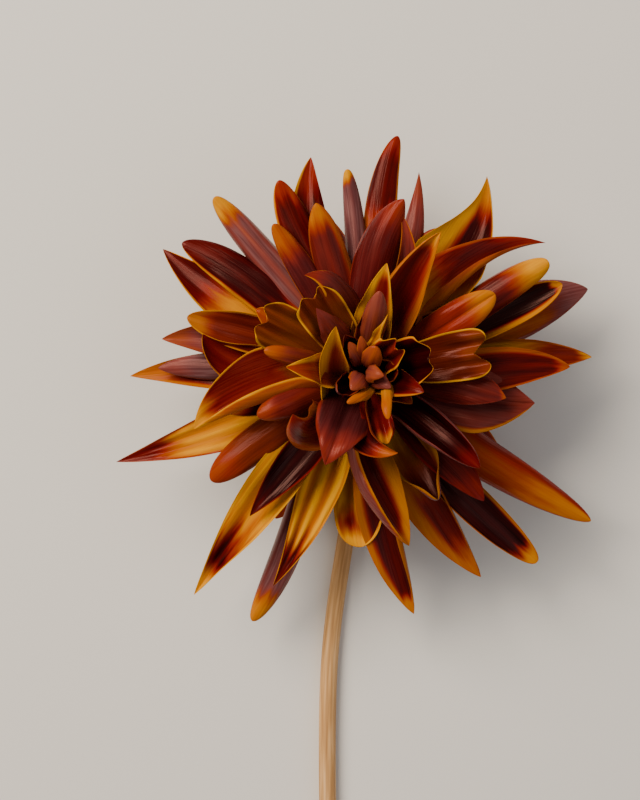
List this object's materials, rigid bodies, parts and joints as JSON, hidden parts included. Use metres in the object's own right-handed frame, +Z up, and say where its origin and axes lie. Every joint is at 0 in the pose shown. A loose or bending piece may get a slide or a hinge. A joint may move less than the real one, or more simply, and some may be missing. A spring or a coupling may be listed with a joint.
{
  "type": "dahlia flower",
  "caption": "Cut dahlia bloom with layered rolled and cupped ray florets, a green calyx and a bent stem, lying on its back.",
  "frame": {"origin": "on the surface the flower lies on, below the middle of the whole flower's box", "axes": "+Z up out of the face of the bloom, -Y along the stem to its cut end, +X to the right when the face is seen with the stem downwards"},
  "size_m": [0.1326, 0.2618, 0.0655],
  "materials": {
    "petals": "satin petal skin, maroon with yellow margins, bases and tips",
    "calyx": "matte green bract",
    "stem": "matte tan and olive plant stem, finely ribbed"
  },
  "bodies": {
    "root": {"bloom": "petals", "calyx": "calyx", "stem": "stem"}
  },
  "joints": []
}
